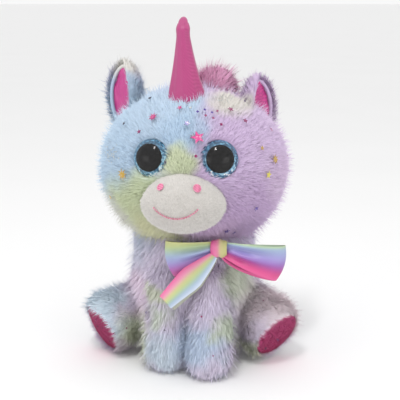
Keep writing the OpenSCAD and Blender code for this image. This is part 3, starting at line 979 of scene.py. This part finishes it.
def hind_leg(name, seed):
    body = f"hind_{name}_leg"
    hip = anchors[body]
    sole = middle(f"hind_{name}_sole_pad")
    way = (sole - hip).normalized()
    length = (sole - hip).length
    bm = turned(limb_profile(14.2 * MM, 18.2 * MM, length - 10 * MM), 64)
    flat_at = length + 0.3 * MM
    for v in bm.verts:
        if v.co.z > flat_at:
            v.co.z = flat_at
    moved(bm, placed(hip, way))
    lumpy(bm, 15, 1.0, seed)
    above_floor(bm)
    cover = new_piece(f"{body}_skin", bm, body_plush, body, f"{body}_cover")
    pad_r = 16.8 * MM

    def keep(at):
        off = at - np.array(sole)
        height = off @ np.array(way)
        flat = np.linalg.norm(off - height[:, None] * np.array(way), axis=1)
        return 1.0 - (flat < pad_r * 0.98) * (height > -3 * MM)

    comb = towards(np.array(way) * 0.6 + np.array([0, 0, 0.2]))
    grow(f"{body}_pile", cover, body, body_plush, 32000, 7.5, comb, seed, keep)
    quarter = [math.pi / 2 * i / 16 for i in range(17)]
    crown = [(pad_r * math.sin(a), (0.9 + 1.3 * math.cos(a)) * MM) for a in quarter]
    pad_bm = turned([*crown, (pad_r - 0.3 * MM, -0.6 * MM), (0, -0.6 * MM)], 64)
    moved(pad_bm, placed(sole, way))
    above_floor(pad_bm, 0.2)
    pad = new_piece(f"hind_{name}_sole", pad_bm, pad_plush, body, f"hind_{name}_sole_pad")
    top = np.array(sole)

    def on_top(at):
        return ((at - top) @ np.array(way) > 0.4 * MM).astype(float)

    grow(
        f"hind_{name}_sole_pile", pad, body, pad_plush, 9000, 1.3, towards((0, 0, 1)), seed,
        on_top, thick_mm=0.26, lean=0.55, clump=0.1,
    )  # fmt: skip


hind_leg("left", 71)
hind_leg("right", 72)

# ---- Tail ----

tail_root = anchors["tail"]
TAIL_WAY = Vector((0, 0.866, -0.5))
tail_bm = turned(limb_profile(4 * MM, 6.6 * MM, 33 * MM), 40)
moved(tail_bm, placed(tail_root, TAIL_WAY))
above_floor(tail_bm)
tail = new_piece("tail_skin", tail_bm, mane_plush, "tail", "tail_cover")
grow(
    "tail_pile", tail, "tail", mane_plush, 16000, 11.0, towards((0, 0.8, -0.6)), 81,
    lean=0.7, clump=0.5,
)  # fmt: skip

# ---- Bow ----


def ribbon(
    name, place, material, body, node, steps=(72, 24)
):
    """A length of ribbon: a flat grid whose points place() moves. UV y runs across its width."""
    bm = bmesh.new()
    bm.loops.layers.uv.new("width")
    bmesh.ops.create_grid(bm, x_segments=steps[0], y_segments=steps[1], size=0.5, calc_uvs=True)
    for v in bm.verts:
        v.co = place(v.co.x + 0.5, v.co.y * 2)
    bmesh.ops.remove_doubles(bm, verts=bm.verts, dist=1e-7)
    obj = new_piece(name, bm, material, body, node)
    return obj


knot = middle("bow_knot")
knot_low, knot_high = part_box("bow_knot")
knot = Vector((knot.x, knot_low.y + 4.6 * MM, knot_high.z - 6 * MM))


def knot_place(s, t):
    """A band of ribbon wrapped round the pinched middle of the bow."""
    turn = 2 * math.pi * s
    crease = 1 + 0.05 * math.sin(7 * t + 1.5 * math.sin(turn))
    swell = (0.55 + 0.45 * math.sqrt(max(0.0, 1 - 0.9 * t * t))) * crease
    return knot + Vector((5.4 * MM * t, 4.6 * MM * swell * math.cos(turn), 6.2 * MM * swell * math.sin(turn)))


ribbon(
    "bow_knot_wrap", knot_place, knot_satin, "torso", "bow_knot", (48, 20),
)  # fmt: skip


def along_ribbon(start, end):
    """The run of a ribbon, its direction, the way its face looks and the way across it."""
    run = end - start
    axis = run.normalized()
    front = Vector((0, -1, 0))
    front = (front - axis * front.dot(axis)).normalized()
    return run, axis, front, axis.cross(front).normalized()


def loop_place(start, end, depth, tall, sag, phase):
    """A pinched loop: out in front, round its fold and back behind, creased where the knot holds it."""
    run, axis, front, up = along_ribbon(start, end)
    up = up if up.z > 0 else -up

    def place(s, t):
        turn = 2 * math.pi * s
        out = (1 - math.cos(turn)) / 2
        off = depth * math.sin(turn) * out**0.55
        half = tall * (0.34 + 0.66 * out**0.75)
        back = max(0, -math.sin(turn))
        pleat = 2.2 * MM * math.sin(7.5 * t + phase) * (1 - out) * min(1, 3 * out)
        pleat += 2.2 * MM * math.sin(5 * t + phase + 3 * s) * out * (1 - out)
        swell = 2.6 * MM * (1 - t * t) * out
        lift = t * half - sag * back * (1 if t < 0 else 0.4) - 1.5 * MM * out * (1 - out)
        if turn >= 2 * math.pi:
            swell = 0
        return start + run * out + axis * swell + front * (off + pleat) + up * lift

    return place


left_low, left_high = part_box("bow_left_loop")
right_low, right_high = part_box("bow_right_loop")
left_middle, right_middle = (left_low + left_high) / 2, (right_low + right_high) / 2
left_end = Vector((left_low.x + 4.0 * MM, left_middle.y - 2 * MM, left_middle.z))
right_end = Vector((right_high.x - 1.5 * MM, right_middle.y, right_middle.z - 1 * MM))
ribbon(
    "left_bow_loop",
    loop_place(knot + Vector((-2 * MM, 0, 0)), left_end, 5.5 * MM, 12.3 * MM, 4.5 * MM, 0.4),
    left_satin, "torso", "bow_left_loop",
)  # fmt: skip
ribbon(
    "right_bow_loop",
    loop_place(knot + Vector((2 * MM, 0, 0)), right_end, 6.5 * MM, 12.3 * MM, 5.0 * MM, 1.8),
    right_satin, "torso", "bow_right_loop",
)  # fmt: skip


def tail_place(start, end, wide, curl, behind):
    run, _, front, side = along_ribbon(start, end)

    def place(s, t):
        half = wide * (0.3 + 0.7 * min(1, s / 0.45) ** 0.8) * (1 - 0.3 * max(0, (s - 0.55) / 0.45))
        wave = 1.2 * MM * math.sin(5 * s + 0.6)
        off = curl * (1 - (t - 0.25) ** 2) * min(1, s * 2) + wave - behind
        return start + run * s + side * half * t + front * off

    return place


tails_low = span("bow_front_tail", "bow_back_tail")[0]
tail_start = knot + Vector((-3 * MM, -1.8 * MM, -4.4 * MM))
tail_end = Vector((tails_low.x + 7.5 * MM, tails_low.y + 1.6 * MM, tails_low.z + 3.5 * MM))
ribbon(
    "bow_front_ribbon_tail", tail_place(tail_start, tail_end, 8.0 * MM, 2.2 * MM, 0),
    tail_satin, "bow_tails", "bow_front_tail", (48, 20),
)  # fmt: skip
back_start = tail_start + Vector((1 * MM, 0, 0))
back_end = tail_end + Vector((2 * MM, 2 * MM, -2.5 * MM))
ribbon(
    "bow_back_ribbon_tail",
    tail_place(back_start, back_end, 7.6 * MM, 1.6 * MM, 2.4 * MM),
    back_satin, "bow_tails", "bow_back_tail", (48, 20),
)  # fmt: skip

ring_low, ring_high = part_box("neck_ribbon")
ring_mid = (ring_low + ring_high) / 2


def ring_place(s, t):
    turn = 2 * math.pi * s
    radius = 38.9 * MM + 0.3 * MM * math.sin(9 * turn) - 1.2 * MM * max(0, t)
    x = ring_mid.x + radius * math.cos(turn)
    y = ring_mid.y + radius * math.sin(turn)
    return Vector((x, y, ring_mid.z + 3.9 * MM * t))


ribbon(
    "neck_ribbon_band", ring_place, right_satin, "torso", "neck_ribbon", (96, 4),
)  # fmt: skip

# ---- Foil prints ----

head_tree = BVHTree.FromObject(head_cover, bpy.context.evaluated_depsgraph_get())
FOILS = {
    "pink": "#D0508C", "deep": "#9C3C70", "gold": "#C6A24A", "yellow": "#DCD060",
    "violet": "#5E4A9C", "silver": "#D6DAD8", "dark": "#3E3A50",
}  # fmt: skip
STARS = [  # x and z on the head's front in millimetres, radius, points, foil
    (-19, 168, 3.2, 8, "pink"), (-3, 173.5, 2.0, 5, "pink"), (3.5, 173.5, 1.2, 5, "silver"),
    (2.5, 165.5, 2.3, 5, "dark"), (9.5, 158, 4.6, 5, "pink"), (6.5, 158.5, 2.4, 5, "dark"),
    (-27, 159.5, 1.7, 5, "deep"), (-38.5, 162.5, 1.4, 5, "dark"), (-9, 143.5, 1.0, 4, "dark"),
    (9, 148, 1.2, 4, "deep"), (11.5, 145, 1.3, 5, "dark"), (8, 171.5, 1.0, 4, "violet"),
    (12, 172.5, 1.0, 4, "violet"), (13, 169.5, 1.0, 4, "deep"), (16.5, 171, 1.0, 4, "violet"),
    (17.5, 168, 1.0, 4, "deep"), (19.5, 171.5, 1.1, 4, "deep"), (22.5, 164.5, 1.2, 4, "deep"),
    (27, 172, 2.3, 5, "deep"), (36, 165.5, 1.9, 5, "deep"), (51, 158.5, 1.7, 5, "deep"),
    (46.5, 150, 1.8, 5, "gold"), (54, 142.5, 3.4, 8, "gold"), (50.5, 134.5, 2.8, 5, "yellow"),
    (43.5, 114, 2.0, 5, "violet"), (-37, 134.5, 4.0, 8, "gold"), (-47.5, 117.5, 1.6, 5, "gold"),
    (26, 100, 2.2, 5, "violet"), (30, 98, 1.4, 5, "violet"), (-24, 177, 1.6, 4, "dark"),
]  # fmt: skip


def star(bm, place, normal, radius, points, colour, turn, layer):
    """A thin pointed print that lies on the tips of the pile."""
    made = bmesh.ops.create_circle(bm, cap_ends=True, radius=radius, segments=2 * points)
    inner = 0.42 if points > 4 else 0.7
    for i, v in enumerate(made["verts"]):
        if i % 2:
            v.co *= inner
    faces = list({f for v in made["verts"] for f in v.link_faces})
    thick = bmesh.ops.extrude_face_region(bm, geom=faces)
    raised = [g for g in thick["geom"] if isinstance(g, bmesh.types.BMVert)]
    bmesh.ops.translate(bm, verts=raised, vec=(0, 0, 0.25 * MM))
    verts = made["verts"] + raised
    matrix = placed(place, normal) @ Matrix.Rotation(turn, 4, "Z")
    bmesh.ops.transform(bm, matrix=matrix, verts=verts)
    for v in verts:
        v[layer] = linear(colour)


def foil_piece(name, body, prints):
    """Prints on one body in one piece. A print is a place, a normal, a radius, a number of points, a foil."""
    bm = bmesh.new()
    layer = bm.verts.layers.float_color.new("foil")
    for i, (place, normal, radius, points, colour) in enumerate(prints):
        star(bm, place, normal, radius, points, FOILS[colour], 0.7 * i, layer)
    bmesh.ops.recalc_face_normals(bm, faces=bm.faces)
    mesh = bpy.data.meshes.new(name)
    bm.to_mesh(mesh)
    bm.free()
    mesh.materials.append(star_foil)
    obj = bpy.data.objects.new(name, mesh)
    bpy.context.scene.collection.objects.link(obj)
    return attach(obj, body)


prints = []
for x, z, radius, points, colour in STARS:
    place, normal = on_front(head_tree, x * MM, z * MM)
    prints.append((place + normal * 4.6 * MM, normal, radius * MM, points, colour))
rng = np.random.default_rng(5)
for centre_x, centre_z, wide, tall, count in ((23, 179.5, 7, 4, 60), (-47, 144, 5, 6, 40)):
    for _ in range(count):
        x = (centre_x + rng.normal(0, wide / 2)) * MM
        z = (centre_z + rng.normal(0, tall / 2)) * MM
        place, normal = on_front(head_tree, x, z)
        if place is not None:
            prints.append((place + normal * 4.0 * MM, normal, rng.uniform(0.3, 0.6) * MM, 4, "silver"))
foil_piece("head_foil_stars", "head", prints)


def specks(name, skin, body, count, height, seed, keep):
    """A few small prints scattered over a cover."""
    rng = np.random.default_rng(seed)
    mesh = skin.data
    found = [v for v in mesh.vertices if keep(v.co)]
    made = []
    for i in rng.choice(len(found), count, replace=False):
        v = found[int(i)]
        colour = ["violet", "dark", "deep"][int(rng.integers(3))]
        radius = rng.uniform(0.4, 1.0) * MM
        points = int(rng.choice([4, 5]))
        made.append((v.co + v.normal * height * MM, v.normal, radius, points, colour))
    foil_piece(name, body, made)


specks("head_foil_specks", head_cover, "head", 30, 4.6, 91, lambda p: p.y > -20 * MM or p.z < 104 * MM)
specks("torso_foil_specks", torso, "torso", 24, 5.0, 92, lambda p: 6 * MM < p.z < 84 * MM)
LEGS = ("front_left_leg", "front_right_leg", "hind_left_leg", "hind_right_leg")
for seed, name in enumerate(LEGS, 93):
    skin = bpy.data.objects[f"{name}_skin"]
    specks(
        f"{name}_foil_specks", skin, name, 6, 4.6, seed,
        lambda p: 5 * MM < p.z < 46 * MM and p.y < -26 * MM,
    )  # fmt: skip

# ---- Stuffing and the plastic parts inside ----


def loose_fill(node, body):
    """Fibrefill a little smaller than the cover it sits in, with a fluffy uneven surface."""
    source = frame["nodes"][node]
    copy = bpy.data.objects.new(node + "_fibre", source.data.copy())
    bpy.context.scene.collection.objects.link(copy)
    remesh = copy.modifiers.new("even", "REMESH")
    remesh.mode = "VOXEL"
    remesh.voxel_size = 2.2 * MM
    evaluated = copy.evaluated_get(bpy.context.evaluated_depsgraph_get())
    mesh = bpy.data.meshes.new_from_object(evaluated)
    copy.modifiers.clear()
    copy.data = mesh
    bm = bmesh.new()
    bm.from_mesh(mesh)
    bm.normal_update()
    for v in bm.verts:
        v.co += v.normal * MM * (0.5 * noise.noise(v.co / (5 * MM)) - 2.4)
    bm.to_mesh(mesh)
    bm.free()
    mesh.shade_smooth()
    mesh.materials.clear()
    mesh.materials.append(fibrefill)
    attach(copy, body)
    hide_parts(node)


for body, members in frame["record"]["behaviour"]["bodies"].items():
    for node in members:
        if node.endswith("_stuffing"):
            loose_fill(node, body)

for node, material in {
    "pellet_bag": bag_cloth,
    "left_eye_shank": shank_plastic,
    "right_eye_shank": shank_plastic,
    "left_eye_washer": washer_plastic,
    "right_eye_washer": washer_plastic,
}.items():
    slots = frame["nodes"][node].data.materials
    slots.clear()
    slots.append(material)

# ---- Floor, light and camera ----

floor_material, floor_tree, floor_shader = finish("pale_paper", Roughness=0.9)
paper = add(floor_tree, "TexNoise", {"Scale": 400.0}).outputs["Fac"]
coloured(floor_tree, floor_shader, paper, linear("#F2F2F2"), linear("#F5F5F5"))
floor_bm = bmesh.new()
bmesh.ops.create_circle(floor_bm, cap_ends=True, radius=40.0, segments=64)
floor_mesh = bpy.data.meshes.new("floor")
floor_bm.to_mesh(floor_mesh)
floor_bm.free()
floor_mesh.materials.append(floor_material)
floor = bpy.data.objects.new("floor", floor_mesh)
bpy.context.scene.collection.objects.link(floor)

scene = bpy.context.scene
world = bpy.data.worlds.new("studio")
world.use_nodes = True
world.node_tree.nodes["Background"].inputs["Color"].default_value = linear("#FFFFFF")
world.node_tree.nodes["Background"].inputs["Strength"].default_value = 0.95
scene.world = world
scene.view_settings.view_transform = "Standard"


def softbox(name, place, target, size, power):
    light = bpy.data.lights.new(name, "AREA")
    light.shape = "RECTANGLE"
    light.size, light.size_y = size
    light.energy = power
    obj = bpy.data.objects.new(name, light)
    obj.location = place
    obj.rotation_euler = (Vector(target) - Vector(place)).to_track_quat("-Z", "Y").to_euler()
    scene.collection.objects.link(obj)


face = Vector((0.0, -0.05, 0.14))
softbox("key", face + Vector((-0.06, -0.33, 0.72)), face, (0.06, 0.20), 2.2)
softbox("fill_left", face + Vector((-0.8, -0.8, 0.0)), face, (0.7, 0.7), 2.0)
softbox("fill_right", face + Vector((0.9, -0.7, 0.0)), face, (0.7, 0.7), 2.2)

camera_data = bpy.data.cameras.new("camera")
camera_data.lens = 79.4
camera_data.sensor_width = 36
camera = bpy.data.objects.new("camera", camera_data)
azimuth = math.radians(7)
camera.location = (0.005 + 0.60 * math.sin(azimuth), -0.005 - 0.60 * math.cos(azimuth), 0.245)
aim = Vector((0.005, -0.005, 0.108))
camera.rotation_euler = (aim - camera.location).to_track_quat("-Z", "Y").to_euler()
scene.collection.objects.link(camera)
scene.camera = camera
